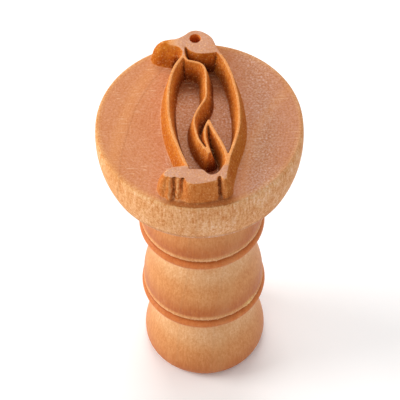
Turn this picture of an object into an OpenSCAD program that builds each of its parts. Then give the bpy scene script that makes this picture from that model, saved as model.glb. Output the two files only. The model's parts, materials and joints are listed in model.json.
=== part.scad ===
// Wooden hand stamp for clay, standing on the end of its grip.
// The turned grip ends in a round tenon, which is glued into a blind socket in
// the stamp head. The figure is carved in relief in the head's end grain.
// Millimetres, +Z up, origin in the middle of the foot's flat.

/* [Stamp head] */
// Diameter of the head at its widest
head_d = 40; // [34:0.5:60]
// Thickness of the head, from its underside to the carved ground
head_t = 12; // [10:0.5:20]
// Depth of the widest line below the carved ground
head_widest_depth = 3; // [2:0.5:6]
// Radius of the arc that the head's side is turned to
head_side_r = 24.5; // [20:0.5:60]
// Radius of the eased edge round the carved ground
face_edge_r = 0.6; // [0.3:0.1:1.2]
// Radius of the eased edge round the underside
under_edge_r = 0.3; // [0.1:0.1:0.8]

/* [Relief figure] */
// Height of the relief above the carved ground
relief_h = 4.9; // [3:0.1:7]
// Slope of the carved walls from upright, in degrees
wall_slope = 14; // [5:1:18]
// Distance from the crown of the bird's head to the head's widest line
figure_margin = 0.9; // [0.8:0.1:4]
// Width of the outline ridges at their top
ridge_w = 0.5; // [0.3:0.05:1]
// Width of the wing ridge at its top
wing_ridge_w = 0.36; // [0.2:0.02:0.8]
// Diameter of the drilled eye
eye_d = 2.2; // [1:0.1:3]
// Depth of the drilled eye
eye_depth = 3.2; // [1:0.1:4.5]
// Radius of the gouge that parts the toes
toe_gouge_r = 0.45; // [0.2:0.05:0.6]
// How much further the beak spreads at the ground than the other walls
beak_spread = 0.9; // [0:0.1:1]
// How much further the toes spread at the ground than the other walls
toe_spread = 0.8; // [0:0.1:1]

/* [Turned grip] */
// Height of the lowest swell, from the foot to the lower bead
low_swell_h = 18.3; // [15:0.1:30]
// Height of the middle swell, from bead to bead
mid_swell_h = 20.4; // [15:0.1:30]
// Height of the top swell, from the upper bead to the head
top_swell_h = 19.3; // [15:0.1:30]
// Diameter of the lowest swell at its widest
foot_swell_d = 24.6; // [22:0.1:30]
// Diameter of the upper swells at their widest
swell_d = 23.5; // [22:0.1:30]
// Radius of the arc that each swell is turned to
swell_arc_r = 36; // [32:1:90]
// Diameter of the foot's flat
foot_d = 20.6; // [16:0.1:22]
// Height of the widest line above the foot
foot_round_h = 3; // [2:0.1:5]
// Height of a bead
bead_h = 1.9; // [1.2:0.1:2.6]
// How far a bead stands out from the swell above it
bead_proud = 0.35; // [0:0.05:1]
// Height of the crease between a bead and the lip above it
crease_h = 0.75; // [0.4:0.05:1.5]
// How far a lip stands out from its swell
lip_proud = 0.4; // [0.1:0.05:0.8]
// Height over which a swell flares out to its lip
flare_h = 1.9; // [1:0.1:3]
// Height of the undercut below a bead, and of the flare under the head
undercut_h = 0.8; // [0.4:0.1:1.5]

/* [Glued joint] */
// Diameter of the round tenon on the grip
tenon_d = 12; // [8:0.5:14]
// Glue clearance round the tenon
glue_gap = 0.05; // [0.02:0.01:0.15]
// Air left above the end of the tenon
end_gap = 0.5; // [0.2:0.1:1]
// Wood left between the socket and the carved ground
face_web = 3.5; // [3:0.1:5]
// Chamfer at the end of the tenon
tenon_chamfer = 0.6; // [0.2:0.1:1]

/* [Hidden] */
$fn = 96;

arc_steps = 14;
curve_steps = 4;
cutter_sides = 10;
overlap = 0.4;
skin = 0.01;

grip_colour = [0.84, 0.58, 0.38];
head_colour = [0.86, 0.64, 0.43];

grip_h = low_swell_h + mid_swell_h + top_swell_h;
ground_z = grip_h + head_t;
head_r = head_d / 2;
swell_r = swell_d / 2;
foot_swell_r = foot_swell_d / 2;
tenon_r = tenon_d / 2;
socket_depth = head_t - face_web;
tenon_h = socket_depth - end_gap;

// Points of an arc round [x, y], from angle a0 to angle a1
function arc(x, y, r, a0, a1, steps = arc_steps) = [
    for (i = [0 : steps])
        let (a = a0 + (a1 - a0) * i / steps)
        [x + r * cos(a), y + r * sin(a)]
];

// Radius of a side turned to an arc, at a distance from its widest line
function turned_r(widest_r, arc_r, distance) = widest_r - arc_r + sqrt(arc_r * arc_r - distance * distance);

// Side of one swell, from its widest line at z0 up to its neck at z1
function swell(widest_r, z0, z1) = [
    for (i = [0 : arc_steps])
        let (z = z0 + (z1 - z0) * i / arc_steps)
        [turned_r(widest_r, swell_arc_r, z - z0), z]
];

// Bead standing on z, the crease above it and the lip of the next swell
function bead_and_lip(z) =
    let (bead_r = swell_r + bead_proud + lip_proud, half = bead_h / 2, lip_z = z + bead_h + crease_h)
    concat(
        arc(bead_r - half, z + half, half, -90, 90),
        [[swell_r + lip_proud, lip_z], [swell_r + lip_proud, lip_z + crease_h / 3]]
    );

// Height at which the swell above a bead is widest
function swell_start(z) = z + bead_h + crease_h + flare_h;

// Rounding from the foot's flat up to the lowest swell
function foot_round() = [
    for (i = [0 : arc_steps])
        let (a = 90 * i / arc_steps)
        [foot_d / 2 + (foot_swell_r - foot_d / 2) * sin(a), foot_round_h * (1 - cos(a))]
];

module grip_profile() {
    lower_bead_z = low_swell_h;
    upper_bead_z = low_swell_h + mid_swell_h;
    neck_z = grip_h - undercut_h;
    neck_r = turned_r(swell_r, swell_arc_r, neck_z - swell_start(upper_bead_z));
    polygon(concat(
        [[0, 0]],
        foot_round(),
        swell(foot_swell_r, foot_round_h + skin, lower_bead_z - undercut_h),
        bead_and_lip(lower_bead_z),
        swell(swell_r, swell_start(lower_bead_z), upper_bead_z - undercut_h),
        bead_and_lip(upper_bead_z),
        swell(swell_r, swell_start(upper_bead_z), neck_z),
        [[neck_r + undercut_h, grip_h], [tenon_r, grip_h]],
        [[tenon_r, grip_h + tenon_h - tenon_chamfer], [tenon_r - tenon_chamfer, grip_h + tenon_h]],
        [[0, grip_h + tenon_h]]
    ));
}

module handle() {
    color(grip_colour)
        rotate_extrude()
            grip_profile();
}

// Head blank

under_r = turned_r(head_r, head_side_r, head_t - head_widest_depth - under_edge_r);
rim_r = turned_r(head_r, head_side_r, head_widest_depth - face_edge_r);

// Side of the head, from its underside up to the edge of the carved ground
function head_side() = [
    for (i = [0 : arc_steps])
        let (z = under_edge_r + (head_t - under_edge_r - face_edge_r) * i / arc_steps)
        [turned_r(head_r, head_side_r, z - head_t + head_widest_depth), z]
];

module head_blank() {
    rotate_extrude()
        polygon(concat(
            [[0, 0]],
            arc(under_r - under_edge_r, under_edge_r, under_edge_r, -90, -10, 4),
            head_side(),
            arc(rim_r - face_edge_r, head_t - face_edge_r, face_edge_r, 10, 90, 6),
            [[0, head_t]]
        ));
}

module socket() {
    translate([0, 0, -overlap])
        cylinder(r = tenon_r + glue_gap, h = socket_depth + overlap);
}

// Relief figure, drawn on the ground with +Y towards the bird's head.
// The drawing's crown is drawn_reach from the middle, and it is scaled in plan to fit.

drawn_reach = 19.1;
figure_scale = (head_r - figure_margin) / drawn_reach;

// Smooth curve through hand-set points, open
function spline(p) = [
    for (i = [0 : len(p) - 2], k = [0 : curve_steps - 1])
        let (
            t = k / curve_steps,
            a = p[max(i - 1, 0)],
            b = p[i],
            c = p[i + 1],
            d = p[min(i + 2, len(p) - 1)]
        )
        0.5 * (2 * b + (c - a) * t + (2 * a - 5 * b + 4 * c - d) * t * t + (3 * b - a - 3 * c + d) * t * t * t)
];

// Spline that also keeps its last point
function curve(p) = concat(spline(p), [p[len(p) - 1]]);

// Unit normal to the left of a line of points
function left_normal(p, i) =
    let (d = p[min(i + 1, len(p) - 1)] - p[max(i - 1, 0)])
    [-d[1], d[0]] / norm(d);

// Closed outline of a ridge of even width along a curve
function ridge_outline(p, w) = concat(
    [for (i = [0 : len(p) - 1]) p[i] + left_normal(p, i) * w / 2],
    [for (i = [len(p) - 1 : -1 : 0]) p[i] - left_normal(p, i) * w / 2]
);

belly_line = [
    [-2.6, 13.6], [-2.8, 12.8], [-4.2, 10.6], [-5.2, 7.6], [-5.8, 3.2],
    [-5.75, -1], [-5.2, -5], [-4.2, -8.8], [-2.7, -13.2], [-2.4, -14.6]
];
back_line = [
    [2.9, 15.2], [4.4, 13], [5.7, 10.3], [6.7, 6.6], [7.35, 2.8],
    [7.6, -1], [7.45, -4.6], [6.7, -7.8], [5.6, -11.2], [5, -14], [4.5, -16.4]
];
wing_line = [
    [-2.6, 15.2], [-2.62, 14.3], [-2.55, 13.4], [-2.4, 12.6], [-1.9, 11.8], [-0.6, 11.4], [0.7, 10.7],
    [1.45, 9.2], [1.5, 6], [1.4, 2.8], [0.2, 0.4], [-0.8, -1.8],
    [-0.9, -4.2], [-0.4, -6.9], [0.7, -9.2], [1.7, -10.7]
];
tail_tip = [1.8, -3];
tail_inner_line = [tail_tip, [1.15, -4.7], [1.05, -7], [1.5, -9.2], [1.9, -10.6]];
tail_outer_line = [
    tail_tip, [2.7, -5.4], [3.85, -7.9], [4.65, -10], [4.98, -11.8], [4.9, -13.1], [4.4, -14.4], [3.6, -15.6]
];

head_back = [
    [-6.7, 16.6], [-5.8, 16.95], [-4, 17.15], [-2.6, 17.85], [-1.3, 18.85],
    [0, 19.1], [1.4, 18.6], [2.9, 17.2], [3.6, 15.3], [4.3, 13.5]
];
chin = [[3.8, 13.6], [1.9, 13.35], [0.1, 13.45], [-1.4, 14.2], [-2.2, 15.3]];
throat = [[-2.65, 15.4], [-2.8, 14.2], [-3.3, 15], [-4.3, 15.75], [-5.6, 16.3], [-6.7, 16.45]];

foot_back = [
    [-2.2, -14.4], [-0.8, -14.45], [0.45, -14.6], [1.15, -15.35], [1.8, -15.8],
    [2.7, -15.7], [3.4, -15.2], [4, -14.3], [4.5, -13.4], [5, -12.6]
];
foot_front = [
    [4.9, -16.5], [4.4, -16.9], [3.4, -17], [1.7, -17.5], [-0.8, -17.85], [-2.3, -17.7], [-2.95, -17.2],
    [-3.15, -16.6], [-4, -16.5], [-5.8, -16.4], [-6.6, -15.9], [-6.9, -15.2], [-6.4, -14.5], [-5.6, -13.95],
    [-4, -13.7]
];

module bird_head() {
    polygon(concat(curve(head_back), curve(chin), curve(throat)));
}

module bird_foot() {
    polygon(concat(curve(foot_back), curve(foot_front), [[-2.9, -13.5]]));
}

// Everything that stands at the full height of the relief, in plan
module figure_plan() {
    scale(figure_scale) {
        bird_head();
        bird_foot();
    }
    polygon(ridge_outline(curve(belly_line) * figure_scale, ridge_w));
    polygon(ridge_outline(curve(back_line) * figure_scale, ridge_w));
    polygon(ridge_outline(curve(wing_line) * figure_scale, wing_ridge_w));
    polygon(ridge_outline(curve(tail_inner_line) * figure_scale, wing_ridge_w));
    polygon(ridge_outline(curve(tail_outer_line) * figure_scale, ridge_w));
    translate(tail_tip * figure_scale)
        circle(r = wing_ridge_w / 2, $fn = 16);
}

eye_at = [-0.33, 17.1];

// Corners of the walls that spread further: place and radius at the top, direction of the spread
beak_corners = [
    [[-6.5, 16.5], 0.2, [-1, -0.65]],
    [[-4, 16.2], 0.6, [-0.7, -0.7]]
];
toe_corners = [
    [[-6.2, -15.2], 0.6, [0, -0.3]],
    [[-5.4, -15.9], 0.5, [-0.1, -0.5]],
    [[-3.4, -16], 0.5, [0, -0.85]]
];

// Gouge cuts between the toes: place at the top, place on the ground, share of the gouge's radius
toe_cuts = [
    [[-6.3, -16.4], [-7.1, -18.3], 0.6],
    [[-5, -16.95], [-5.35, -18.6], 1.3],
    [[-3.3, -17.1], [-4.8, -18.7], 0.8],
    [[3.5, -16.8], [3.65, -18.2], 1]
];

relief_depth = relief_h + overlap;
wall_run = relief_depth * tan(wall_slope);

// The plan at the top with walls that slope out to the ground
module sloped_figure() {
    minkowski() {
        linear_extrude(height = skin)
            figure_plan();
        cylinder(r1 = wall_run, r2 = 0, h = relief_depth - skin, $fn = cutter_sides);
    }
}

// Walls that spread further than the others, between the given corners
module spread_walls(corners, spread) {
    hull()
        for (corner = corners) {
            at = corner[0] * figure_scale;
            foot = at + corner[2] * spread;
            translate([at[0], at[1], relief_depth - 2 * skin])
                cylinder(r = corner[1], h = skin, $fn = cutter_sides);
            translate([foot[0], foot[1], 0])
                cylinder(r = corner[1] + wall_run + spread / 2, h = skin, $fn = cutter_sides);
        }
}

// Round-bottomed cut down a wall, from a place at the top to a place on the ground
module gouge_cut(top, ground, r) {
    run = ground - top;
    tilt = atan(norm(run) / relief_h);
    translate([top[0], top[1], relief_h])
        rotate([0, 180 - tilt, atan2(run[1], run[0])])
            translate([0, 0, -overlap])
                cylinder(r = r, h = relief_h / cos(tilt) + overlap, $fn = 24);
}

module eye_hole() {
    translate([eye_at[0] * figure_scale, eye_at[1] * figure_scale, relief_h - eye_depth])
        cylinder(r = eye_d / 2, h = eye_depth + overlap, $fn = 48);
}

// Relief figure, with z = 0 at the carved ground and its root sunk by the overlap
module relief_figure() {
    difference() {
        intersection() {
            translate([0, 0, -overlap])
                union() {
                    sloped_figure();
                    spread_walls(beak_corners, beak_spread);
                    spread_walls(toe_corners, toe_spread);
                }
            translate([0, 0, -2 * overlap])
                cylinder(r = rim_r - face_edge_r, h = relief_h + 4 * overlap);
        }
        for (cut = toe_cuts)
            gouge_cut(cut[0] * figure_scale, cut[1] * figure_scale, toe_gouge_r * cut[2]);
        eye_hole();
    }
}

module stamp_head() {
    color(head_colour)
        difference() {
            union() {
                translate([0, 0, grip_h])
                    head_blank();
                translate([0, 0, ground_z])
                    relief_figure();
            }
            translate([0, 0, grip_h])
                socket();
        }
}

handle();
stamp_head();
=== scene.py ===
"""Dresses a turned wooden hand stamp: a ringed grip glued into a round head with a bird carved in relief.

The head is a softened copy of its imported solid, and the grip is turned again in its packed place, with
slimmer waists, finer beads and frayed lips. Both are cut from one kind of wood, whose growth rings run
through the solid.
"""

from __future__ import annotations

import json
import logging
import math
from collections.abc import Iterator
from contextlib import contextmanager
from dataclasses import dataclass, field
from enum import Enum

import bmesh
import bpy
import numpy as np
from mathutils import Matrix, Vector
from mathutils.bvhtree import BVHTree

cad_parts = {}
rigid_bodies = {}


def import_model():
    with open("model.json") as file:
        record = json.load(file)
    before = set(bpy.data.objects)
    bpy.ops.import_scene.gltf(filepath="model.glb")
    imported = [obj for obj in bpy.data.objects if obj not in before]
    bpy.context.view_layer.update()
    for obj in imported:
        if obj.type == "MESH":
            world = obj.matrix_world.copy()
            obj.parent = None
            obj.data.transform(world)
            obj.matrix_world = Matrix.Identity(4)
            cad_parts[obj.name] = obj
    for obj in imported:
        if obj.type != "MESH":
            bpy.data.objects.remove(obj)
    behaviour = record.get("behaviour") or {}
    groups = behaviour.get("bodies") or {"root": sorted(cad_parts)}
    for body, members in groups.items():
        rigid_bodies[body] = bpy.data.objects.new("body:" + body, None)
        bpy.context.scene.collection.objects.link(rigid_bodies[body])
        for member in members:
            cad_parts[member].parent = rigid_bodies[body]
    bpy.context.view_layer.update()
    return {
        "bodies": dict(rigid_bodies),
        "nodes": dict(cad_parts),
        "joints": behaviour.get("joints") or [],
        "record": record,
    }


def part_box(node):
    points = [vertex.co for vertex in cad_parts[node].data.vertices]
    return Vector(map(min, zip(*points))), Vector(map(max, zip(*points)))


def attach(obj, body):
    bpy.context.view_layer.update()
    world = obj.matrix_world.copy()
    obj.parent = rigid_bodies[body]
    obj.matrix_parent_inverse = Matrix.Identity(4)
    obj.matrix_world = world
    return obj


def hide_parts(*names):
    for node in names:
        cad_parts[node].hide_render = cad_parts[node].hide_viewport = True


LOG = logging.getLogger("hand_stamp")
MM = 0.001

Colour = tuple[float, float, float, float]
Point = tuple[float, float]
Socket = bpy.types.NodeSocket
Mesh = bpy.types.Mesh


def paint(red: int, green: int, blue: int) -> Colour:
    """Turn a screen colour into the linear colour that a shader wants.

    Args:
        red: Red, 0 to 255.
        green: Green, 0 to 255.
        blue: Blue, 0 to 255.

    Returns:
        Linear red, green, blue and an alpha of 1.
    """

    def channel(value: int) -> float:
        """Straighten one channel."""
        share = value / 255
        return share / 12.92 if share <= 0.04045 else ((share + 0.055) / 1.055) ** 2.4

    return channel(red), channel(green), channel(blue), 1.0


def smooth_step(low: float, high: float, value: np.ndarray) -> np.ndarray:
    """Ease from 0 at low to 1 at high.

    Args:
        low: Value below which the result is 0.
        high: Value above which the result is 1.
        value: Values to ease.

    Returns:
        Eased values.
    """
    share = np.clip((value - low) / (high - low), 0, 1)
    return share * share * (3 - 2 * share)


def bell(value: np.ndarray, middle: float, half_width: float) -> np.ndarray:
    """Rise to 1 at the middle and fall off to both sides.

    Args:
        value: Values to weigh.
        middle: Where the bell is highest.
        half_width: Distance at which it has fallen to about a third.

    Returns:
        Weights from 0 to 1.
    """
    return np.exp(-(((value - middle) / half_width) ** 2))


def ripple(place: np.ndarray, size: float, seed: int, waves: int = 14) -> np.ndarray:
    """Sum seeded waves in all directions into a smooth, uneven field.

    Args:
        place: One row of coordinates for each point.
        size: Length of a typical wave.
        seed: Which field it is.
        waves: How many waves are summed.

    Returns:
        Values that mostly lie from -1 to 1.
    """
    draw = np.random.default_rng(seed)
    total = np.zeros(len(place))
    for _ in range(waves):
        way = draw.normal(size=place.shape[1])
        way *= draw.uniform(0.6, 1.6) * math.tau / (size * np.linalg.norm(way))
        total += np.sin(place @ way + draw.uniform(0, math.tau))
    return total / math.sqrt(waves)


class Slot(Enum):
    """The record's slots of finish."""

    HEAD = "head_wood"
    GRIP = "grip_wood"


@dataclass(frozen=True)
class GrowthLine:
    """One growth line of the tree, as a cylinder round the pith.

    Attributes:
        radius: Distance from the pith, in mm.
        width: Half width of the line, in mm.
        strength: How much of the tint it carries.
    """

    radius: float
    width: float
    strength: float


@dataclass(frozen=True)
class Coat:
    """One tint, laid over the wood where a mask of the piece asks for it.

    Attributes:
        mask: Name of the piece's mask.
        colour: The tint.
        share: How much of it shows where the mask is full.
        ragged: How far the grain breaks up the mask's edge.
    """

    mask: str
    colour: Colour
    share: float
    ragged: float = 0.0


@dataclass(frozen=True)
class Grain:
    """How strongly each pattern of the wood shows, as a share of its colour.

    Attributes:
        ring: Growth rings.
        fibre: Long fibres.
        stipple: The fine mottle of pores.
        cloud: Wide patches.
        fleck: Pale fibres.
        scratch: Pale scratches on level ground.
        side: How much livelier the sides are than level ground.
        walls: How much livelier the carved walls are.
        depth: Height of the grain's relief, in mm.
    """

    ring: float
    fibre: float
    stipple: float
    cloud: float
    fleck: float
    scratch: float
    side: float
    walls: float
    depth: float


@dataclass(frozen=True)
class WoodFinish:
    """Colours and surface of one cut of the wood.

    Attributes:
        base: Colour of its side grain.
        coats: Tints over it, in order.
        line: Colour of the growth lines.
        band: Colour of the pale bands beside them.
        streak: Colour of pale fibres.
        chalk: Colour of scratches.
        grain: Strength of each pattern.
        roughness: Roughness of the surface.
        specular: Level of its mirror reflection.
    """

    base: Colour
    coats: tuple[Coat, ...]
    line: Colour
    band: Colour
    streak: Colour
    chalk: Colour
    grain: Grain
    roughness: float
    specular: float


RAW_HEAD = WoodFinish(
    base=paint(241, 178, 123),
    coats=(
        # Painted shade: the lowest band of the head's side, where it turns under, is darkened.
        Coat("under", paint(183, 104, 58), 0.6, 0.5),
        Coat("level", paint(200, 136, 98), 1.0),
        # Painted shadow: the ground round the figure, most of all to its right, is darkened as the
        # figure's shadow.
        Coat("painted_figure_shadow", paint(191, 128, 79), 0.7, 0.8),
        Coat("shade", paint(118, 58, 24), 0.8, 0.5),
        Coat("dust", paint(236, 204, 180), 0.6, 3.0),
        # Painted highlight: a pale line along the head's lower arris.
        Coat("arris", paint(240, 194, 164), 0.6, 0.6),
        # Painted highlight: a paler band where the face rounds over into the side.
        Coat("rim", paint(226, 168, 106), 0.5, 0.8),
        Coat("wall", paint(203, 108, 26), 1.0, 0.3),
        # Painted light: the upper part of the carved walls is paler, as if lit.
        Coat("painted_lit_wall_top", paint(236, 148, 62), 0.6, 0.5),
        Coat("toes", paint(213, 124, 58), 0.95, 0.6),
        Coat("beak", paint(198, 106, 25), 0.85, 0.4),
        Coat("shade_wall", paint(172, 96, 32), 0.6, 0.4),
        # Painted shadow: an orange-brown arc on the ground in front of the foot.
        Coat("painted_foot_shadow", paint(168, 94, 38), 0.9, 0.6),
        # Painted light: the wall of the eye hole is painted bright orange, as if lit inside.
        Coat("eye", paint(244, 132, 48), 1.0),
        # Painted shade: the lower, shut-in parts of the carved walls are darkened.
        Coat("deep", paint(78, 24, 6), 0.95),
        # Painted shade: the concave corners of the carving are darkened.
        Coat("groove", paint(92, 36, 10), 0.85, 0.3),
        Coat("fluff", paint(222, 196, 172), 0.4, 1.2),
        Coat("ridge", paint(226, 148, 84), 0.9, 0.2),
        Coat("crest", paint(204, 148, 117), 1.0, 0.15),
        # Painted highlight: paler convex edges on the upper walls and the toes.
        Coat("painted_edge_highlight", paint(236, 168, 106), 0.5, 0.4),
    ),
    line=paint(166, 96, 52),
    band=paint(228, 158, 96),
    streak=paint(255, 200, 138),
    chalk=paint(248, 214, 178),
    grain=Grain(
        ring=0.03, fibre=0.12, stipple=0.14, cloud=0.05, fleck=0.58,
        scratch=0.35, side=2.2, walls=1.9, depth=0.01,
    ),
    roughness=0.8,
    specular=0.1,
)
SATIN_GRIP = WoodFinish(
    base=paint(228, 154, 89),
    coats=(
        # Painted highlight: the upper part of each swell is paler.
        Coat("painted_shoulder_highlight", paint(245, 190, 132), 0.85, 0.2),
        # Painted shade: the lower part of each swell, above its lip or the foot, is darker.
        Coat("painted_swell_shade", paint(197, 101, 30), 0.9, 0.3),
        # Painted shade: each bead, in the lip's shadow, is darker and more saturated.
        Coat("bead", paint(219, 121, 52), 0.9, 0.4),
        # Painted shade: the crease between each bead and the lip above it is darkened.
        Coat("crease", paint(139, 79, 26), 0.55, 0.4),
        # Painted highlight: the band of each lip is paler.
        Coat("lip", paint(250, 194, 134), 0.55, 0.8),
        Coat("torn", paint(250, 200, 124), 1.0, 0.4),
    ),
    line=paint(176, 112, 66),
    band=paint(226, 170, 112),
    streak=paint(252, 200, 138),
    chalk=paint(242, 206, 158),
    grain=Grain(
        ring=0.02, fibre=0.1, stipple=0.09, cloud=0.05, fleck=0.12,
        scratch=0.0, side=1.35, walls=1.0, depth=0.005,
    ),
    roughness=0.45,
    specular=0.28,
)
DARK_LINES = (GrowthLine(60.7, 0.2, 0.25), GrowthLine(45.6, 0.3, 0.12), GrowthLine(38.6, 0.35, 0.08))
PALE_BANDS = (GrowthLine(62.2, 1.4, 0.3), GrowthLine(37.0, 1.1, 0.2))
FIBRE_STRETCH = 0.16
SCRATCH_SETS = ((68, 0.22, 2.6), (-24, 0.3, 2.2), (12, 0.25, 2.4))


class Tree:
    """Where the stamp was cut from the tree. Lengths in mm.

    Attributes:
        pith: A point of the tree's middle line.
        lean: How far that line leans sideways for its height.
        rings_per_mm: How fine the rings are.
        wander: How far the rings stray.
        near: Distance from the pith up to which the wood has its inner tint.
        far: Distance from which it has its outer tint.
        near_tint: The inner tint.
        far_tint: The outer tint.
    """

    pith = (45.0, -17.0, 70.0)
    lean = -0.09
    rings_per_mm = 0.9
    wander = 2.2
    near = 34.0
    far = 63.0
    near_tint = (0.985, 0.98, 1.05, 1.0)
    far_tint = (1.05, 0.99, 0.9, 1.0)


class NodeDesk:
    """Lays out and joins the nodes of one tree."""

    def __init__(self, tree: bpy.types.NodeTree) -> None:
        """Take up a node tree.

        Args:
            tree: Tree that the nodes go into.
        """
        self.tree = tree

    def add(self, kind: str, values: dict | None = None, **settings: object) -> bpy.types.Node:
        """Add a node, with its settings and its inputs.

        Args:
            kind: The node's type.
            values: Input name or number to a socket to link or a plain value.
            **settings: Properties of the node.

        Returns:
            The new node.
        """
        node = self.tree.nodes.new(kind)
        for name, value in settings.items():
            setattr(node, name, value)
        self.feed(node.inputs, values or {})
        return node

    def feed(self, inputs: object, values: dict) -> None:
        """Link or set some inputs.

        Args:
            inputs: The inputs, by name or number.
            values: Input name or number to a socket to link or a plain value.
        """
        for name, value in values.items():
            if isinstance(value, Socket):
                self.tree.links.new(value, inputs[name])
            else:
                inputs[name].default_value = value

    def mask(self, name: str) -> Socket:
        """Read one of the piece's masks.

        Args:
            name: The mask's name.

        Returns:
            The mask's socket, 0 where the piece has no such mask.
        """
        return self.add("ShaderNodeAttribute", attribute_name=name).outputs["Fac"]

    def math(self, operation: str, *values: object, clamp: bool = False) -> Socket:
        """Add a Math node and return its value.

        Args:
            operation: The operation's name.
            *values: Sockets or numbers, in order.
            clamp: Whether the value is kept from 0 to 1.

        Returns:
            The value's socket.
        """
        node = self.add("ShaderNodeMath", dict(enumerate(values)), operation=operation, use_clamp=clamp)
        return node.outputs[0]

    def times(self, first: object, *factors: object) -> Socket:
        """Multiply values.

        Args:
            first: A socket or number.
            *factors: What it is multiplied by.

        Returns:
            The product's socket.
        """
        for factor in factors:
            first = self.math("MULTIPLY", first, factor)
        return first

    def vector(self, operation: str, *values: object) -> Socket:
        """Add a Vector Math node and return its vector, or its value for a length.

        Args:
            operation: The operation's name.
            *values: Sockets or vectors, in order.

        Returns:
            The result's socket.
        """
        node = self.add("ShaderNodeVectorMath", dict(enumerate(values)), operation=operation)
        return node.outputs["Value" if operation == "LENGTH" else "Vector"]

    def mix(self, factor: object, first: object, second: object, blend: str = "MIX") -> Socket:
        """Mix two colours.

        Args:
            factor: Share of the second colour.
            first: First colour.
            second: Second colour.
            blend: How the second colour is laid over the first.

        Returns:
            The mixed colour's socket.
        """
        node = self.add("ShaderNodeMix", data_type="RGBA", blend_type=blend)
        inputs = {socket.name: socket for socket in node.inputs if socket.enabled}
        self.feed(inputs, {"Factor": factor, "A": first, "B": second})
        return next(socket for socket in node.outputs if socket.enabled)

    def remap(self, value: object, old: Point, new: Point = (0.0, 1.0)) -> Socket:
        """Map a range smoothly to another.

        Args:
            value: Value to map.
            old: Start and end of its range.
            new: What they become.

        Returns:
            The mapped value's socket.
        """
        ends = {"From Min": old[0], "From Max": old[1], "To Min": new[0], "To Max": new[1]}
        node = self.add("ShaderNodeMapRange", {"Value": value, **ends}, interpolation_type="SMOOTHSTEP")
        return node.outputs["Result"]

    def noise(self, at: object, scale: float, detail: float = 2, roughness: float = 0.5) -> Socket:
        """Add a Noise Texture and return its value.

        Args:
            at: Where it is read.
            scale: Its scale.
            detail: Its octaves.
            roughness: How strong the finer octaves are.

        Returns:
            The value's socket, about 0.5 on average.
        """
        values = {"Vector": at, "Scale": scale, "Detail": detail, "Roughness": roughness}
        return self.add("ShaderNodeTexNoise", values).outputs["Fac"]

    def noise_along(self, at: Socket, scale: float, detail: float) -> Socket:
        """Add a Noise Texture that changes in one direction only, and return its value.

        Args:
            at: Distance at which it is read.
            scale: Its scale.
            detail: Its octaves.

        Returns:
            The value's socket, about 0.5 on average.
        """
        values = {"W": at, "Scale": scale, "Detail": detail}
        return self.add("ShaderNodeTexNoise", values, noise_dimensions="1D").outputs["Fac"]

    def warmth(self, value: Socket) -> Socket:
        """Turn a value near 1 into a tint: darker wood is redder and paler wood is yellower.

        Args:
            value: How bright the wood is.

        Returns:
            The tint to multiply by.
        """
        red, blue = (self.math("POWER", value, power) for power in (0.4, 1.8))
        return self.add("ShaderNodeCombineXYZ", {"X": red, "Y": value, "Z": blue}).outputs[0]


def clear_desk(owner: bpy.types.Material | bpy.types.World) -> NodeDesk:
    """Clear the nodes of a material or a world.

    Args:
        owner: The material or world.

    Returns:
        The desk of its empty tree.
    """
    owner.use_nodes = True
    owner.node_tree.nodes.clear()
    return NodeDesk(owner.node_tree)


def new_group(name: str, inputs: dict, outputs: tuple[str, ...]) -> tuple[NodeDesk, dict, dict]:
    """Start a shader node group with named sockets.

    Args:
        name: The group's name.
        inputs: Input name to its default: a number, or None for a vector.
        outputs: Names of the values that it puts out.

    Returns:
        The desk of the group, its inputs inside and its outputs inside.
    """
    tree = bpy.data.node_groups.new(name, "ShaderNodeTree")
    for title, default in inputs.items():
        kind = "NodeSocketVector" if default is None else "NodeSocketFloat"
        socket = tree.interface.new_socket(title, in_out="INPUT", socket_type=kind)
        if default is not None:
            socket.default_value = default
    for title in outputs:
        tree.interface.new_socket(title, in_out="OUTPUT", socket_type="NodeSocketFloat")
    desk = NodeDesk(tree)
    start = desk.add("NodeGroupInput")
    end = desk.add("NodeGroupOutput")
    return desk, {one.name: one for one in start.outputs}, {one.name: one for one in end.inputs}


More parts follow.
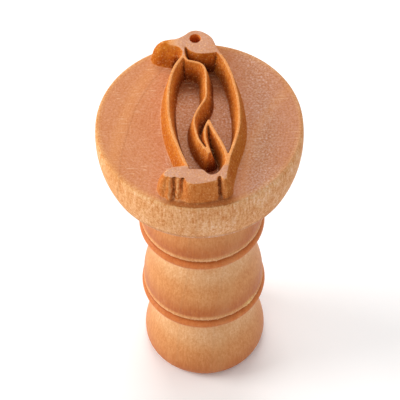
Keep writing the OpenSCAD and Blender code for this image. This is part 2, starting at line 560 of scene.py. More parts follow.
class WoodPatterns:
    """The patterns of the wood, each a node group that every finish shares."""

    def __init__(self) -> None:
        """Build the groups."""
        self.rings = self._rings()
        self.fibres = self._fibres()
        self.line = self._line()
        self.scratches = self._scratches()

    @staticmethod
    def _rings() -> bpy.types.NodeTree:
        """Build the distance from the pith and the fine rings in it.

        Returns:
            A group with Point in, Distance and Ring out.
        """
        desk, given, out = new_group("growth_rings", {"Point": None}, ("Distance", "Ring"))
        moved = desk.vector("SUBTRACT", given["Point"], Tree.pith)
        parts = desk.add("ShaderNodeSeparateXYZ", {0: moved}).outputs
        across = desk.math("ADD", parts["X"], desk.times(parts["Z"], Tree.lean))
        flat = desk.add("ShaderNodeCombineXYZ", {"X": across, "Y": parts["Y"]}).outputs[0]
        stray = desk.times(desk.math("SUBTRACT", desk.noise(given["Point"], 0.06), 0.5), Tree.wander)
        distance = desk.math("ADD", desk.vector("LENGTH", flat), stray)
        desk.tree.links.new(distance, out["Distance"])
        desk.tree.links.new(desk.noise_along(distance, Tree.rings_per_mm, 3.0), out["Ring"])
        return desk.tree

    @staticmethod
    def _fibres() -> bpy.types.NodeTree:
        """Build fibres that run along the stamp: streaks on its sides, a fine stipple on its end grain.

        Returns:
            A group with Point in, Fibre, Fleck, Speck, Stipple, Blotch and Cloud out.
        """
        names = ("Fibre", "Fleck", "Speck", "Stipple", "Blotch", "Cloud")
        desk, given, out = new_group("long_fibres", {"Point": None}, names)
        along = desk.vector("MULTIPLY", given["Point"], (1.0, 1.0, FIBRE_STRETCH))
        made = {
            "Fibre": desk.noise(along, 3.0, 3, 0.6),
            "Fleck": desk.remap(desk.noise(along, 3.4, 2, 0.6), (0.53, 0.7)),
            "Speck": desk.remap(desk.noise(given["Point"], 2.8, 2, 0.6), (0.55, 0.72)),
            "Blotch": desk.noise(given["Point"], 0.75, 2, 0.6),
            "Stipple": desk.noise(given["Point"], 2.4, 3, 0.7),
            "Cloud": desk.noise(given["Point"], 0.16, 3, 0.55),
        }
        for name, socket in made.items():
            desk.tree.links.new(socket, out[name])
        return desk.tree

    @staticmethod
    def _line() -> bpy.types.NodeTree:
        """Build one growth line.

        Returns:
            A group with Distance, At and Width in, Mask out.
        """
        desk, given, out = new_group("growth_line", {"Distance": 0.0, "At": 60.0, "Width": 0.4}, ("Mask",))
        off = desk.math("DIVIDE", desk.math("SUBTRACT", given["Distance"], given["At"]), given["Width"])
        desk.tree.links.new(desk.math("POWER", math.e, desk.times(off, off, -1.0)), out["Mask"])
        return desk.tree

    @staticmethod
    def _scratches() -> bpy.types.NodeTree:
        """Build the marks of turning and rubbing on level ground.

        Each set of scratches has its direction, in degrees, and its scales along and across it.

        Returns:
            A group with Point in, Scratch and Turning out.
        """
        desk, given, out = new_group("scratches", {"Point": None}, ("Scratch", "Turning"))
        found = None
        for angle, along, across in SCRATCH_SETS:
            turn = (0, 0, math.radians(angle))
            values = {"Vector": given["Point"], "Rotation": turn, "Scale": (along, across, 0.1)}
            turned = desk.add("ShaderNodeMapping", values).outputs[0]
            mark = desk.remap(desk.noise(turned, 1.0, 2, 0.6), (0.6, 0.74))
            found = mark if found is None else desk.math("MAXIMUM", found, mark)
        patch = desk.remap(desk.noise(given["Point"], 0.22, 2), (0.42, 0.62))
        flat = desk.vector("MULTIPLY", given["Point"], (1.0, 1.0, 0.0))
        desk.tree.links.new(desk.times(found, patch), out["Scratch"])
        desk.tree.links.new(desk.noise_along(desk.vector("LENGTH", flat), 2.6, 2.0), out["Turning"])
        return desk.tree


class WoodMaterial:
    """Builds the material of one cut of the wood."""

    def __init__(self, patterns: WoodPatterns, finish: WoodFinish) -> None:
        """Keep what the material is made of.

        Args:
            patterns: The shared groups.
            finish: Colours and surface.
        """
        self.patterns = patterns
        self.finish = finish

    def build(self, name: str) -> bpy.types.Material:
        """Build the material.

        Args:
            name: Its name.

        Returns:
            The material.
        """
        finish = self.finish
        material = bpy.data.materials.new(name)
        desk = clear_desk(material)
        place = desk.add("ShaderNodeTexCoord").outputs["Object"]
        point = desk.add("ShaderNodeMapping", {"Vector": place, "Scale": (1 / MM,) * 3}).outputs[0]
        fibres = self._pattern(desk, self.patterns.fibres, {"Point": point})
        colour = self._grain(desk, self._coats(desk, fibres), fibres, point)
        height = desk.math("ADD", fibres["Fibre"], desk.times(fibres["Stipple"], 0.8))
        relief = {"Height": height, "Strength": 1.0, "Distance": finish.grain.depth * MM}
        bump = desk.add("ShaderNodeBump", relief)
        spread = (finish.roughness - 0.08, finish.roughness + 0.1)
        rough = desk.remap(fibres["Stipple"], (0.2, 0.8), spread)
        shader = desk.add(
            "ShaderNodeBsdfPrincipled",
            {
                "Base Color": colour,
                "Roughness": rough,
                "Normal": bump.outputs["Normal"],
                "Specular IOR Level": finish.specular,
            },
        )
        desk.add("ShaderNodeOutputMaterial", {"Surface": shader.outputs[0]})
        return material

    @staticmethod
    def _pattern(desk: NodeDesk, tree: bpy.types.NodeTree, values: dict) -> dict[str, Socket]:
        """Place one of the shared groups.

        Args:
            desk: The material's desk.
            tree: The group.
            values: Input name to a socket to link or a plain value.

        Returns:
            What it puts out, by name.
        """
        node = desk.add("ShaderNodeGroup", values, node_tree=tree)
        return {socket.name: socket for socket in node.outputs}

    def _coats(self, desk: NodeDesk, fibres: dict[str, Socket]) -> Socket:
        """Lay the finish's tints over its base colour.

        Args:
            desk: The material's desk.
            fibres: What the fibres group puts out.

        Returns:
            The tinted colour.
        """
        colour = self.finish.base
        uneven = desk.math("SUBTRACT", fibres["Stipple"], 0.5)
        for coat in self.finish.coats:
            mask = desk.mask(coat.mask)
            if coat.ragged:
                mask = desk.math("ADD", mask, desk.times(uneven, mask, 4 * coat.ragged), clamp=True)
            colour = desk.mix(desk.times(mask, coat.share), colour, coat.colour)
        return colour

    def _grain(self, desk: NodeDesk, colour: Socket, fibres: dict[str, Socket], point: Socket) -> Socket:
        """Lay rings, lines, fibres, flecks and scratches over a colour.

        Args:
            desk: The material's desk.
            colour: Plain colour.
            fibres: What the fibres group puts out.
            point: Place on the piece, in mm.

        Returns:
            The grained colour.
        """
        grain = self.finish.grain
        rings = self._pattern(desk, self.patterns.rings, {"Point": point})
        distance = rings["Distance"]
        carved = desk.mask("carved")
        plain = desk.math("SUBTRACT", 1.0, carved)
        level = desk.times(desk.mask("level"), plain)
        value = 1.0
        waves = (
            (rings["Ring"], grain.ring),
            (fibres["Fibre"], grain.fibre),
            (fibres["Stipple"], grain.stipple),
            (fibres["Blotch"], 0.7 * grain.cloud),
            (fibres["Cloud"], grain.cloud),
        )
        for wave, strength in waves:
            value = desk.times(value, desk.remap(wave, (0.3, 0.7), (1 - strength, 1 + strength)))
        on_sides = desk.times(desk.math("SUBTRACT", plain, level), grain.side - 1)
        on_walls = desk.times(desk.mask("wall"), grain.walls - 1)
        lively = desk.math("ADD", desk.math("ADD", on_sides, on_walls), 1.0)
        strong = desk.times(desk.math("SUBTRACT", value, 1.0), lively)
        value = desk.math("MAXIMUM", desk.math("ADD", strong, 1.0), 0.2)
        colour = desk.mix(1.0, colour, desk.warmth(value), "MULTIPLY")
        side = desk.mix(desk.remap(distance, (Tree.near, Tree.far)), Tree.near_tint, Tree.far_tint)
        colour = desk.mix(plain, colour, desk.mix(1.0, colour, side, "MULTIPLY"))
        for lines, tint in ((PALE_BANDS, self.finish.band), (DARK_LINES, self.finish.line)):
            for line in lines:
                values = {"Distance": distance, "At": line.radius, "Width": line.width}
                mark = self._pattern(desk, self.patterns.line, values)["Mask"]
                colour = desk.mix(desk.times(mark, line.strength, plain), colour, tint)
        if grain.scratch:
            marks = self._pattern(desk, self.patterns.scratches, {"Point": point})
            arcs = desk.remap(marks["Turning"], (0.3, 0.7), (0.95, 1.05))
            colour = desk.mix(level, colour, desk.mix(1.0, colour, desk.warmth(arcs), "MULTIPLY"))
            share = desk.times(marks["Scratch"], grain.scratch, level)
            colour = desk.mix(share, colour, self.finish.chalk)
        fleck = desk.times(fibres["Fleck"], desk.math("SUBTRACT", 1.0, level), plain)
        speck = desk.times(fibres["Speck"], desk.remap(carved, (0.0, 1.0), (0.5, 0.85)))
        pale = desk.times(desk.math("MAXIMUM", fleck, speck), grain.fleck)
        return desk.mix(pale, colour, self.finish.streak)


def put(name: str, data: bpy.types.ID) -> bpy.types.Object:
    """Put a mesh, a lamp or a camera in the scene.

    Args:
        name: The object's name.
        data: What it shows.

    Returns:
        The object.
    """
    made = bpy.data.objects.new(name, data)
    bpy.context.scene.collection.objects.link(made)
    return made


@contextmanager
def form_of(mesh: Mesh) -> Iterator[bmesh.types.BMesh]:
    """Open a mesh to work on it, and write the work back at the end.

    Args:
        mesh: The mesh.

    Yields:
        Its form.
    """
    form = bmesh.new()
    form.from_mesh(mesh)
    yield form
    form.to_mesh(mesh)
    form.free()


def settle(piece: bpy.types.Object) -> None:
    """Apply a piece's modifiers to its mesh.

    Args:
        piece: The piece.
    """
    graph = bpy.context.evaluated_depsgraph_get()
    mesh = bpy.data.meshes.new_from_object(piece.evaluated_get(graph), depsgraph=graph)
    piece.modifiers.clear()
    old = piece.data
    piece.data = mesh
    bpy.data.meshes.remove(old)


def points_of(mesh: Mesh, what: str = "co") -> np.ndarray:
    """Read a mesh's vertices.

    Args:
        mesh: The mesh.
        what: "co" for places or "normal" for normals.

    Returns:
        One row for each vertex.
    """
    values = np.zeros(len(mesh.vertices) * 3, np.float32)
    mesh.vertices.foreach_get(what, values)
    return values.reshape(-1, 3).astype(float)


def move_points(mesh: Mesh, places: np.ndarray) -> None:
    """Write a mesh's vertices back.

    Args:
        mesh: The mesh.
        places: One row for each vertex.
    """
    mesh.vertices.foreach_set("co", places.astype(np.float32).ravel())
    mesh.update()


def store(mesh: Mesh, masks: dict[str, np.ndarray]) -> None:
    """Store masks on a mesh's vertices.

    Args:
        mesh: The mesh.
        masks: Each mask's name and its value for each vertex.
    """
    for name, values in masks.items():
        attribute = mesh.attributes.new(name, "FLOAT", "POINT")
        attribute.data.foreach_set("value", np.clip(values, 0, 1).astype(np.float32))


class Skin:
    """Measures the skin of a mesh at each vertex."""

    def __init__(self, mesh: Mesh) -> None:
        """Read the mesh.

        Args:
            mesh: The mesh.
        """
        self.mesh = mesh
        self.place = points_of(mesh) / MM
        self.normal = points_of(mesh, "normal")
        ends = np.zeros(len(mesh.edges) * 2, np.int32)
        mesh.edges.foreach_get("vertices", ends)
        self.ends = ends.reshape(-1, 2)
        self.degree = np.maximum(np.bincount(ends, minlength=len(self.place)), 1)

    def average(self, values: np.ndarray) -> np.ndarray:
        """Average a value over each vertex's neighbours."""
        one, two = self.ends.T
        count = len(self.place)
        total = np.bincount(one, values[two], count) + np.bincount(two, values[one], count)
        return total / self.degree

    def bend(self, rounds: int = 2) -> np.ndarray:
        """Measure how the skin bends.

        Args:
            rounds: How many times the measure is evened out.

        Returns:
            More than 0 on arrises and less than 0 in corners, in 1 / mm.
        """
        around = np.stack([self.average(self.place[:, i]) for i in range(3)], 1)
        rise = ((self.place - around) * self.normal).sum(1)
        one, two = self.ends.T
        length = np.linalg.norm(self.place[one] - self.place[two], axis=1)
        count = len(self.place)
        near = (np.bincount(one, length, count) + np.bincount(two, length, count)) / self.degree
        value = 4 * rise / np.maximum(near, 1e-3) ** 2
        for _ in range(rounds):
            value = (value + self.average(value)) / 2
        return value

    def hollow(self, wanted: np.ndarray, reach: float, rays: int = 16) -> np.ndarray:
        """Measure how far each vertex is shut in, by rays to all sides.

        Args:
            wanted: Which vertices are measured.
            reach: Length of a ray, in mm.
            rays: Number of rays.

        Returns:
            0 in the open to 1 where every ray meets wood.
        """
        faces = [tuple(face.vertices) for face in self.mesh.polygons]
        solid = BVHTree.FromPolygons([tuple(p) for p in self.place], faces)
        turns = [i * math.pi * (3 - math.sqrt(5)) for i in range(rays)]
        rises = [math.sqrt((i + 0.5) / rays) for i in range(rays)]
        found = np.zeros(len(self.place))
        for index in np.flatnonzero(wanted):
            up = Vector(self.normal[index])
            side = up.orthogonal().normalized()
            other = up.cross(side)
            start = Vector(self.place[index]) + up * 0.05
            hits = 0
            for turn, rise in zip(turns, rises):
                flat = math.sqrt(1 - rise * rise)
                way = up * rise + side * (flat * math.cos(turn)) + other * (flat * math.sin(turn))
                hits += solid.ray_cast(start, way, reach)[0] is not None
            found[index] = hits / rays
        for _ in range(6):
            found = (found + self.average(found)) / 2
        return found


@dataclass(frozen=True)
class Lobe:
    """A rounded swelling of a carved wall, as a gouge leaves it. Lengths in mm.

    Attributes:
        place: Its middle in plan.
        reach: How far it spreads.
        out: How far the wall swells out.
    """

    place: Point
    reach: float
    out: float


@dataclass(frozen=True)
class Groove:
    """A gouge stroke down the front of the foot. Lengths in mm.

    Attributes:
        top: Sideways place at the top.
        ground: Sideways place on the ground.
        half_width: Half its width.
        depth: How deep it cuts into the front.
    """

    top: float
    ground: float
    half_width: float
    depth: float


BEAK_LOBES = (Lobe((-7.2, 16.2), 2.6, 0.55), Lobe((-4.6, 15.2), 1.8, 0.35))
FOOT_LOBES = (
    Lobe((-7.4, -15.6), 2.2, 0.45),
    Lobe((-6.0, -17.4), 1.3, 0.3),
    Lobe((-4.1, -17.9), 0.9, 0.3),
    Lobe((-0.6, -18.2), 3.2, 0.15),
    Lobe((4.9, -17.2), 1.5, 0.25),
)
EYE = (-0.33, 17.1)
TOE_GROOVES = (
    Groove(-6.2, -6.9, 0.35, 0.4),
    Groove(-5.0, -5.35, 0.5, 0.85),
    Groove(-3.3, -4.1, 0.4, 0.7),
    Groove(3.5, 3.65, 0.4, 0.35),
)


@dataclass
class StampHead:
    """The round head with its relief, softened as carved wood is. Lengths in mm.

    Attributes:
        node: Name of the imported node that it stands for.
        voxel: Grain of the skin that the solid is given.
        rounds: How many times all arrises are eased.
        more_rounds: How many times the lobes' arrises are eased further.
        most_faces: Faces that the skin is thinned to.
        longest: Longest edge that thinning may leave.
        relief: Height of the relief above its ground.
        depth: Height of the head below the ground.
        face_r: Radius up to which the ground is level.
        waver: How far the hand-held cut strays.
    """

    node: str = "stamp_head"
    voxel: float = 0.13
    rounds: int = 2
    more_rounds: int = 14
    most_faces: int = 145_000
    longest: float = 1.0
    relief: float = 4.9
    depth: float = 12.0
    face_r: float = 19.3
    waver: float = 0.02

    def build(self, frame: dict) -> bpy.types.Object:
        """Make the head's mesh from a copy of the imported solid.

        Args:
            frame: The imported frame.

        Returns:
            The head.
        """
        head = put("carved_head", bpy.data.meshes.new("carved_head"))
        with form_of(head.data) as form:
            form.from_mesh(frame["nodes"][self.node].data)
            bmesh.ops.remove_doubles(form, verts=form.verts, dist=0.002 * MM)
        skin = head.modifiers.new("skin", "REMESH")
        skin.mode = "VOXEL"
        skin.voxel_size = self.voxel * MM
        settle(head)
        self._carve(head.data)
        self._ease(head.data)
        thin = head.modifiers.new("thin", "DECIMATE")
        thin.ratio = min(1.0, self.most_faces / (2 * len(head.data.polygons)))
        settle(head)
        self._divide(head.data)
        head.data.shade_smooth()
        self._mask(head.data)
        return head

    def _height(self, place: np.ndarray) -> np.ndarray:
        """Work out each point's height above the ground, as a share of the relief.

        Args:
            place: Places in mm.

        Returns:
            0 on the ground and 1 on the tops.
        """
        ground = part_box(self.node)[1].z / MM - self.relief
        return (place[:, 2] - ground) / self.relief

    def _soft(self, place: np.ndarray) -> np.ndarray:
        """Weigh each point by how near a lobe is.

        Args:
            place: Places in mm.

        Returns:
            Weights from 0 to 1.
        """
        weight = np.zeros(len(place))
        for lobe in BEAK_LOBES + FOOT_LOBES:
            far = np.hypot(*(place[:, :2] - lobe.place).T)
            weight = np.maximum(weight, 1 - smooth_step(0.5 * lobe.reach, lobe.reach, far))
        return weight * smooth_step(0.02, 0.1, self._height(place))

    def _carve(self, mesh: Mesh) -> None:
        """Swell the lobes, cut the grooves between the toes and let the walls waver.

        Args:
            mesh: The head's mesh.
        """
        place = points_of(mesh) / MM
        normal = points_of(mesh, "normal")
        share = self._height(place)
        wall = (1 - smooth_step(0.6, 0.95, normal[:, 2])) * smooth_step(0.01, 0.12, share)
        outward = normal[:, :2] / np.maximum(np.hypot(*normal[:, :2].T), 1e-3)[:, None]
        belly = np.sin(math.pi * np.clip(share, 0, 1) ** 1.2) * wall
        for lobe in BEAK_LOBES + FOOT_LOBES:
            far = np.hypot(*(place[:, :2] - lobe.place).T)
            push = lobe.out * (1 - smooth_step(0.3 * lobe.reach, lobe.reach, far)) * belly
            place[:, :2] += outward * push[:, None]
        front = wall * smooth_step(-14.5, -15.5, place[:, 1]) * smooth_step(0.2, -0.5, normal[:, 1])
        for groove in TOE_GROOVES:
            middle = groove.ground + (groove.top - groove.ground) * np.clip(share, 0, 1)
            middle += 0.12 * ripple(place[:, 2:], 2.2, 7)
            cut = bell(place[:, 0], middle, groove.half_width) * front
            place[:, 1] += groove.depth * cut
        carved = smooth_step(0.0, 0.15, share)
        for axis, seed in ((0, 11), (1, 12)):
            place[:, axis] += self.waver * ripple(place, 4.0, seed) * carved
        rough = 0.02 * ripple(place, 0.9, 13) * wall * (1 - smooth_step(0.8, 0.95, share))
        move_points(mesh, (place + normal * rough[:, None]) * MM)

    def _ease(self, mesh: Mesh) -> None:
        """Ease the arrises, most of all on the lobes.

        Args:
            mesh: The head's mesh.
        """
        soft = self._soft(points_of(mesh) / MM) > 0.5
        axes = {f"use_axis_{axis}": True for axis in "xyz"}
        with form_of(mesh) as form:
            everywhere = list(form.verts)
            lobes = [vert for vert, near in zip(everywhere, soft) if near]
            for count, verts in ((self.rounds, everywhere), (self.more_rounds, lobes)):
                for _ in range(count):
                    bmesh.ops.smooth_vert(form, verts=verts, factor=0.5, **axes)

    def _divide(self, mesh: Mesh) -> None:
        """Divide the long edges that thinning leaves on flat ground, so that the masks show there.

        Args:
            mesh: The head's mesh.
        """
        with form_of(mesh) as form:
            for _ in range(6):
                long_edges = [edge for edge in form.edges if edge.calc_length() > self.longest * MM]
                if not long_edges:
                    break
                bmesh.ops.subdivide_edges(form, edges=long_edges, cuts=1)
                bmesh.ops.triangulate(form, faces=[face for face in form.faces if len(face.verts) > 3])

    def _mask(self, mesh: Mesh) -> None:
        """Store the masks that the finish's tints ask for.

        Args:
            mesh: The head's mesh.
        """
        skin = Skin(mesh)
        x, y, _ = skin.place.T
        share = self._height(skin.place)
        radius = np.hypot(x, y)
        facing = skin.normal[:, 0]
        steep = 1 - smooth_step(0.5, 0.9, skin.normal[:, 2])
        inside = radius < self.face_r
        carved = smooth_step(0.02, 0.08, share)
        beak_tip = carved * smooth_step(-4.9, -5.8, x) * (y > 12)
        wall = np.maximum(steep, beak_tip) * carved
        ground = (1 - carved) * (share > -0.08) * np.maximum(1 - steep, inside)
        top = smooth_step(0.95, 0.99, share) * (1 - smooth_step(0.06, 0.4, steep)) * (1 - beak_tip)
        bend = skin.bend()
        shut = skin.hollow(inside & (share > -0.02), reach=7.0)
        enclosed = smooth_step(0.26, 0.4, shut) * (x > -6.8)
        eye = bell(np.hypot(x - EYE[0], y - EYE[1]), 0.0, 1.4)
        toes = wall * smooth_step(-13.5, -15.0, y)
        bird_head = smooth_step(12.6, 13.4, y) * smooth_step(-5.6, -2.6, x)
        plateau = np.maximum(bird_head, smooth_step(-13.4, -14.0, y))
        inner = ground * (np.abs(x) < 8) * (np.abs(y) < 14) * enclosed
        right_side = bell(x, 10.5, 3.5) * bell(y, -6, 7)
        far_right = bell(x, 11.5, 3.5)
        before_foot = smooth_step(-16.6, -17.9, y) * (1 - smooth_step(5, 8.5, np.abs(x)))
        left_of_neck = smooth_step(-4.5, -5.2, x) * smooth_step(9, 10, y)
        shadow = np.maximum(smooth_step(3.5, 9.5, y), smooth_step(0.55, 0.9, shut)) * (1 - left_of_neck)
        # How shut in and how low each point is, for the painted shade in the cavities.
        low = smooth_step(0.3, 0.8, shut) * (1 - smooth_step(0.15, 0.95, share))
        # The eye, the toes and walls that face the key lamp get less of the painted shade.
        lit = (1 - 0.9 * eye) * (1 - 0.6 * toes) * (1 - 0.55 * smooth_step(-0.2, -0.8, facing))
        wall_foot = wall * (1 - smooth_step(0.03, 0.08, share))
        upper_wall = smooth_step(0.75, 0.95, share) * (1 - top)
        masks = {
            "carved": carved,
            "level": ground,
            # Painted shade on the lowest band of the head's side, where it turns under.
            "under": 1 - smooth_step(0.02, 0.17, 1 + share * self.relief / self.depth),
            # Painted shadow of the figure on the ground beside it, strongest to its right.
            "painted_figure_shadow": ground * np.maximum(right_side, 0.5 * (np.abs(x) < 6)),
            # Painted highlight on the rounding between the face and the side.
            "rim": smooth_step(18.6, 19.6, radius) * smooth_step(-0.3, -0.02, share),
            "wall": wall,
            # Painted light on the upper part of the carved walls.
            "painted_lit_wall_top": wall * smooth_step(0.5, 0.95, share),
            "toes": toes,
            "beak": wall * smooth_step(11.0, 13.0, y) * (1 - eye),
            "shade_wall": wall * smooth_step(0.2, 0.6, facing) * smooth_step(3.5, 5.5, x),
            # Painted shadow on the ground just in front of the foot.
            "painted_foot_shadow": (share > -0.06) * (1 - carved) * before_foot,
            # Painted shade in the cavities, from how shut in and how low a wall point is.
            "deep": wall * low * lit,
            "dust": 0.26 * np.maximum(inner * smooth_step(9, 5, y), far_right * ground),
            # Painted highlight along the head's lower arris.
            "arris": bell(share * self.relief + self.depth, 0.2, 0.35) * (radius > 17.8),
            # Painted light on the wall of the eye hole.
            "eye": wall * eye,
            # Painted shade in the concave corners of the carving.
            "groove": carved * smooth_step(0.3, 2.0, -bend) * smooth_step(0.3, 0.6, shut) * (1 - eye),
            "fluff": wall_foot * enclosed * smooth_step(8, 4, y),
            "shade": inner * shadow,
            "ridge": top * (1 - plateau),
            "crest": top * plateau,
            # Painted highlight on convex edges of the upper walls and the toes.
            "painted_edge_highlight": carved * smooth_step(0.8, 2.5, bend) * np.maximum(upper_wall, toes),
        }
        store(mesh, masks)


def arc(middle: Point, size: Point, end: float, steps: int) -> list[Point]:
    """Follow an ellipse of the half outline upwards, from its lowest point.

    Args:
        middle: Radius and height of its middle.
        size: Half its width and half its height.
        end: Direction of its last point from the middle, in degrees above level.
        steps: Number of stretches.

    Returns:
        Its points.
    """
    turns = [math.radians((end + 90) * i / steps - 90) for i in range(steps + 1)]
    return [(middle[0] + size[0] * math.cos(turn), middle[1] + size[1] * math.sin(turn)) for turn in turns]


@dataclass
class TurnedGrip:
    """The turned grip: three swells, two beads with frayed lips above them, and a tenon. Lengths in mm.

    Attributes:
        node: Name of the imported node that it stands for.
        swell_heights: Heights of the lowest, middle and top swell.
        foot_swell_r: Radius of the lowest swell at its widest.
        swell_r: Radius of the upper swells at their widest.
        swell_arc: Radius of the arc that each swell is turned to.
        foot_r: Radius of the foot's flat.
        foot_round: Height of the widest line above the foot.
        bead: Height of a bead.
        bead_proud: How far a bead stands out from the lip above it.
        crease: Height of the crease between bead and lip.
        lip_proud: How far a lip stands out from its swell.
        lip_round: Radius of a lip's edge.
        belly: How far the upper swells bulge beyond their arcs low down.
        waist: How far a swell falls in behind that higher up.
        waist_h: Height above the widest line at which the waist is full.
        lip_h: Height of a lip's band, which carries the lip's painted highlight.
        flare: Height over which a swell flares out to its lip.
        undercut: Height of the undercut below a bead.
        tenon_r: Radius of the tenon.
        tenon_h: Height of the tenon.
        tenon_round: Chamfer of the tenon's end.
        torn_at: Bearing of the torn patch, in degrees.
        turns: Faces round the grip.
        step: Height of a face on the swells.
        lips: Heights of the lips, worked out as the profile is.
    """

    node: str = "handle"
    swell_heights: tuple[float, float, float] = (18.3, 20.4, 19.3)
    foot_swell_r: float = 12.3
    swell_r: float = 11.75
    swell_arc: float = 36.0
    foot_r: float = 10.3
    foot_round: float = 3.0
    bead: float = 1.9
    bead_proud: float = 0.35
    crease: float = 0.75
    lip_proud: float = 0.4
    lip_round: float = 0.15
    belly: float = 0.25
    waist: float = 1.0
    waist_h: float = 9.0
    lip_h: float = 0.75
    flare: float = 1.9
    undercut: float = 0.8
    tenon_r: float = 6.0
    tenon_h: float = 8.0
    tenon_round: float = 0.6
    torn_at: float = -42
    turns: int = 440
    step: float = 0.45
    lips: list[float] = field(default_factory=list)

    def build(self) -> bpy.types.Object:
        """Spin the grip from its profile.

        Returns:
            The grip.
        """
        mesh = bpy.data.meshes.new("turned_grip")
        with form_of(mesh) as form:
            verts = [form.verts.new((r * MM, 0, z * MM)) for r, z in self.profile()]
            edges = [form.edges.new(pair) for pair in zip(verts, verts[1:])]
            bmesh.ops.spin(
                form, geom=verts + edges, cent=(0, 0, 0), axis=(0, 0, 1), dvec=(0, 0, 0),
                angle=math.tau, steps=self.turns, use_merge=True, use_duplicate=False,
            )
            bmesh.ops.remove_doubles(form, verts=form.verts, dist=0.001 * MM)
            bmesh.ops.recalc_face_normals(form, faces=form.faces)
        mesh.shade_smooth()
        self._mask(mesh)
        self._fray(mesh)
        return put("turned_grip", mesh)

    def profile(self) -> list[Point]:
        """Work out the half outline of the grip, from the foot's middle to the tenon's end.

        Returns:
            Radius and height of each point, in mm.
        """
        low, middle, high = self.swell_heights
        top = low + middle + high
        points = [(self.foot_r * share, 0.0) for share in (0.0, 0.35, 0.7, 0.93)]
        rounding = (self.foot_swell_r - self.foot_r, self.foot_round)
        points += arc((self.foot_r, self.foot_round), rounding, end=0, steps=10)
        points += self._swell(self.foot_swell_r, self.foot_round, low - self.undercut)[1:]
        for base, next_top in ((low, low + middle), (low + middle, top)):
            points += self._bead_and_lip(base)
            start = base + self.bead + self.crease + self.flare
            points += self._swell(self.swell_r + self.belly, start, next_top - self.undercut)
        neck = points[-1][0]
        points += [(neck + self.undercut, top), (self.tenon_r + 1, top), (self.tenon_r, top)]
        tip = top + self.tenon_h
        points += [(self.tenon_r, top + 0.5 * self.tenon_h), (self.tenon_r, tip - self.tenon_round)]
        return points + [(self.tenon_r - self.tenon_round, tip), (0.0, tip)]

    def _swell(self, widest: float, start: float, end: float) -> list[Point]:
        """Turn one swell, from its widest line up to its neck.

        Args:
            widest: Radius at its widest.
            start: Height of its widest line.
            end: Height of its neck.

        Returns:
            Points of its side.
        """
        count = max(4, round((end - start) / self.step))
        found = []
        for i in range(count + 1):
            height = (end - start) * i / count
            bow = math.sqrt(self.swell_arc**2 - height**2) - self.swell_arc
            fall = self.waist * float(smooth_step(0.0, self.waist_h, height))
            found.append((widest + bow - fall, start + height))
        return found

    def _bead_and_lip(self, base: float) -> list[Point]:
        """Turn a bead, the crease above it and the lip of the next swell.

        Args:
            base: Height of the bead's underside.

        Returns:
            Points of the outline.
        """
        half = self.bead / 2
        lip_r = self.swell_r + self.lip_proud
        lip = base + self.bead + self.crease
        self.lips.append(lip)
        points = arc((lip_r + self.bead_proud - half, base + half), (half, half), end=90, steps=12)
        inner_r = lip_r - self.lip_round
        lip_half = self.lip_h / 2
        points += arc((inner_r, lip + lip_half), (self.lip_round, lip_half), end=90, steps=8)
        drop = self.lip_proud - self.belly - self.lip_round
        steps = 6
        for i in range(1, steps):
            share = i / steps
            ease = (1 - math.cos(math.pi * share)) / 2
            height = lip + self.lip_h + (self.flare - self.lip_h) * share
            points.append((inner_r - drop * ease, height))
        return points

    def _fray(self, mesh: Mesh) -> None:
        """Fray the lips, most at the front, and tear up a bit of the lower one.

        Args:
            mesh: The grip's mesh.
        """
        place = points_of(mesh) / MM
        turn = np.degrees(np.arctan2(place[:, 1], place[:, 0]))
        radius = np.hypot(place[:, 0], place[:, 1])
        out = place[:, :2] / np.maximum(radius, 1e-3)[:, None]
        for lip in self.lips:
            near = bell(place[:, 2], lip + 0.1, 0.35) * (radius > self.swell_r)
            front = 0.25 + 0.75 * bell(turn, -72, 30)
            fibre = ripple(place[:, :2], 0.9, 21) + 0.6 * ripple(place[:, :2], 0.45, 22)
            place[:, 2] -= 0.12 * near * front * np.maximum(fibre + 0.3, 0)
            place[:, :2] += out * (0.05 * near * front * fibre)[:, None]
        torn = bell(turn, self.torn_at, 7) * bell(place[:, 2], self.lips[0] + 0.2, 0.7)
        lift = (0.12 + 0.15 * np.maximum(ripple(place, 0.7, 23), 0)) * (radius > self.swell_r - 0.5)
        place[:, :2] += out * (torn * lift)[:, None]
        move_points(mesh, place * MM)

    def _mask(self, mesh: Mesh) -> None:
        """Store the masks that the finish's tints ask for.

        Args:
            mesh: The grip's mesh.
        """
        place = points_of(mesh) / MM
        height = place[:, 2]
        turn = np.degrees(np.arctan2(place[:, 1], place[:, 0]))
        low, middle, high = self.swell_heights
        starts = (-2.0, self.lips[0], self.lips[1])
        ends = (low, low + middle, low + middle + high)
        painted_shoulder_highlight, painted_swell_shade, lip, crease, bead = (np.zeros(len(height)) for _ in range(5))
        for start, end in zip(starts, ends):
            within = (height > start) & (height < end)
            reach = 7.0 if start > 0 else 12.0
            # Painted highlight on the upper part of each swell.
            painted_shoulder_highlight = np.maximum(painted_shoulder_highlight, smooth_step(10.5, 5.5, end - height) * within)
            # Painted shade on the lower part of each swell.
            painted_swell_shade = np.maximum(painted_swell_shade, smooth_step(reach, 1.2, height - start) * within)
        for at in self.lips:
            # Painted highlight on the band of each lip.
            band = bell(height, at + 0.5 * self.lip_h, 0.65 * self.lip_h)
            lip = np.maximum(lip, band * (height > at - 0.05))
            # Painted shade in the crease under each lip.
            crease = np.maximum(crease, bell(height, at - self.crease / 2, 0.6 * self.crease))
            # Painted shade on each bead, up to the lip above it.
            below = at - self.crease - self.bead
            bead = np.maximum(bead, smooth_step(below - 0.5, below, height) * (height < at))
        masks = {
            "painted_shoulder_highlight": painted_shoulder_highlight,
            "painted_swell_shade": painted_swell_shade * (1 - lip),
            "bead": bead,
            "crease": crease,
            "lip": lip,
            "torn": bell(turn, self.torn_at, 7) * bell(height, self.lips[0] + 0.3, 0.7),
        }
        store(mesh, masks)


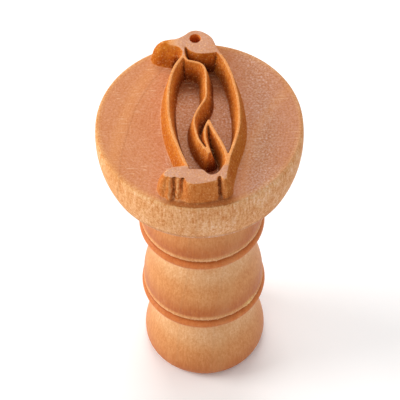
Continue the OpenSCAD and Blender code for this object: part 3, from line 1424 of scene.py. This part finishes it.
@dataclass(frozen=True)
class Lamp:
    """One round soft lamp, turned to the stamp.

    Attributes:
        name: Its name.
        bearing: Where it hangs, in degrees from +X towards +Y.
        rise: How high it hangs, in degrees.
        power: Its power, in watts.
        tint: Its colour.
    """

    name: str
    bearing: float
    rise: float
    power: float
    tint: tuple[float, float, float]


LAMPS = (
    Lamp("key", 176, 29, 4.6, (1.0, 0.99, 0.97)),
    Lamp("fill", 255, 35, 0.4, (1.0, 1.0, 1.0)),
    Lamp("back", 90, 60, 2.9, (1.0, 0.995, 0.985)),
    Lamp("side", 15, 55, 0.4, (1.0, 0.99, 0.98)),
)


@dataclass
class Studio:
    """Camera, lamps and floor. Lengths in metres.

    Attributes:
        aim: Point near the middle of the stamp that the camera is set up round.
        distance: From that point to the camera.
        elevation: Angle of the view above the level, in degrees.
        lens: Focal length, in mm, on a sensor 36 mm wide.
        nudge_up: Turn of the view upwards, in degrees.
        nudge_right: Turn of the view to the right, in degrees.
        roll: Roll of the camera, in degrees.
        lamp_size: Width of a lamp.
        lamp_distance: From the stamp's middle to a lamp.
        room: Strength of the room's light.
        floor_seen: How pale the floor looks to the camera.
    """

    aim: tuple[float, float, float] = (0.0, 0.0, 0.040)
    distance: float = 0.6
    elevation: float = 53.923
    lens: float = 271.56
    nudge_up: float = 0.3114
    nudge_right: float = 0.0257
    roll: float = 1.6319
    lamp_size: float = 0.5
    lamp_distance: float = 0.9
    room: float = 0.5
    floor_seen: float = 1.1

    def camera(self) -> bpy.types.Object:
        """Set up the camera.

        Returns:
            The camera.
        """
        data = bpy.data.cameras.new("camera")
        data.sensor_width = 36
        data.lens = self.lens
        data.clip_start = 0.01
        camera = put("camera", data)
        rise = math.radians(self.elevation)
        start = Vector((0, -math.cos(rise), math.sin(rise)))
        right = Vector((1, 0, 0))
        view = Matrix((right, start.cross(right), start)).transposed()
        for angle, axis in ((self.nudge_up, "X"), (self.nudge_right, "Y"), (-self.roll, "Z")):
            view = view @ Matrix.Rotation(math.radians(angle), 3, axis)
        place = view.to_4x4()
        place.translation = Vector(self.aim) + self.distance * start
        camera.matrix_world = place
        bpy.context.scene.camera = camera
        return camera

    def floor(self) -> bpy.types.Object:
        """Lay the pale floor.

        Returns:
            The floor.
        """
        mesh = bpy.data.meshes.new("floor")
        with form_of(mesh) as form:
            bmesh.ops.create_grid(form, x_segments=1, y_segments=1, size=2.0)
        floor = put("floor", mesh)
        material = bpy.data.materials.new("pale_floor")
        desk = clear_desk(material)
        lighting = (0.8, 0.8, 0.8, 1)
        bright = (self.floor_seen, self.floor_seen, self.floor_seen, 1)
        shader = desk.add("ShaderNodeBsdfDiffuse", {"Color": desk.mix(self._seen(desk), lighting, bright)})
        desk.add("ShaderNodeOutputMaterial", {"Surface": shader.outputs[0]})
        mesh.materials.append(material)
        return floor

    @staticmethod
    def _seen(desk: NodeDesk) -> Socket:
        """Tell rays that show the background from those that light the stamp.

        Args:
            desk: The desk of the floor's or the room's nodes.

        Returns:
            1 for the camera, gloss and glass, else 0.
        """
        path = desk.add("ShaderNodeLightPath").outputs
        gloss = desk.math("MAXIMUM", path["Is Glossy Ray"], path["Is Transmission Ray"])
        return desk.math("MAXIMUM", path["Is Camera Ray"], gloss)

    def lamps(self) -> None:
        """Hang the lamps and light the room."""
        for lamp in LAMPS:
            data = bpy.data.lights.new(lamp.name, "AREA")
            data.shape = "DISK"
            data.size = self.lamp_size
            data.energy = lamp.power
            data.color = lamp.tint
            made = put(lamp.name, data)
            bearing, rise = math.radians(lamp.bearing), math.radians(lamp.rise)
            level = math.cos(rise)
            out = Vector((math.cos(bearing) * level, math.sin(bearing) * level, math.sin(rise)))
            made.location = Vector((0, 0, 0.05)) + out * self.lamp_distance
            made.rotation_euler = (-out).to_track_quat("-Z", "Y").to_euler()
        world = bpy.data.worlds.new("room")
        desk = clear_desk(world)
        strength = desk.remap(self._seen(desk), (0.0, 1.0), (self.room, 1.0))
        light = desk.add("ShaderNodeBackground", {"Color": (0.98, 0.99, 1.0, 1), "Strength": strength})
        desk.add("ShaderNodeOutputWorld", {"Surface": light.outputs[0]})
        bpy.context.scene.world = world


def hand_in(piece: bpy.types.Object, material: bpy.types.Material, node: str) -> None:
    """Finish a piece and give it to the frame.

    Args:
        piece: The piece.
        material: Its material.
        node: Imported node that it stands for.
    """
    piece.data.materials.append(material)
    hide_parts(node)
    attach(piece, "root")
    LOG.info("%s: %d faces for %s", piece.name, len(piece.data.polygons), node)


def main() -> None:
    """Build and dress the stamp."""
    logging.basicConfig(level=logging.INFO, format="%(name)s: %(message)s")
    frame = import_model()
    studio = Studio()
    studio.camera()
    studio.floor()
    studio.lamps()
    bpy.context.scene.view_settings.view_transform = "Standard"
    patterns = WoodPatterns()
    head_wood = WoodMaterial(patterns, RAW_HEAD).build("raw_head_wood")
    grip_wood = WoodMaterial(patterns, SATIN_GRIP).build("satin_grip_wood")
    head = StampHead()
    hand_in(head.build(frame), head_wood, head.node)
    grip = TurnedGrip()
    hand_in(grip.build(), grip_wood, grip.node)


if __name__ == "__main__":
    main()
